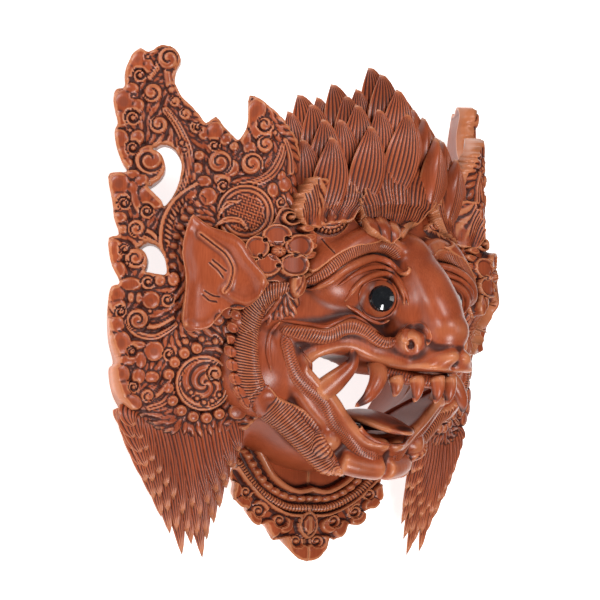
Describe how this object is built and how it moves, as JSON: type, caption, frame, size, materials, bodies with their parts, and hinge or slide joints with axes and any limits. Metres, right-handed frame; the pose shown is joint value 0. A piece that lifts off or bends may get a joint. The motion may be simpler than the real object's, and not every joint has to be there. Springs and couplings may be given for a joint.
{
  "type": "barong wall mask",
  "caption": "Carved wooden barong mask with flared pierced side wings, leaf crest, tusked open mouth, fur tufts and black inlaid pupils.",
  "frame": {"origin": "middle of the mask's outline seen from the front, on the plane its back lies on", "axes": "+Z out of the face, +Y to the crest, +X to the mask's left ear"},
  "size_m": [0.5012, 0.471, 0.2181],
  "materials": {
    "carved_wood": "hand-carved reddish brown wood, waxed, dark stain in the grooves",
    "black_pupil": "black, domed, polished"
  },
  "bodies": {
    "root": {"carved_mask": "carved_wood", "pupil_right": "black_pupil", "pupil_left": "black_pupil"}
  },
  "joints": []
}
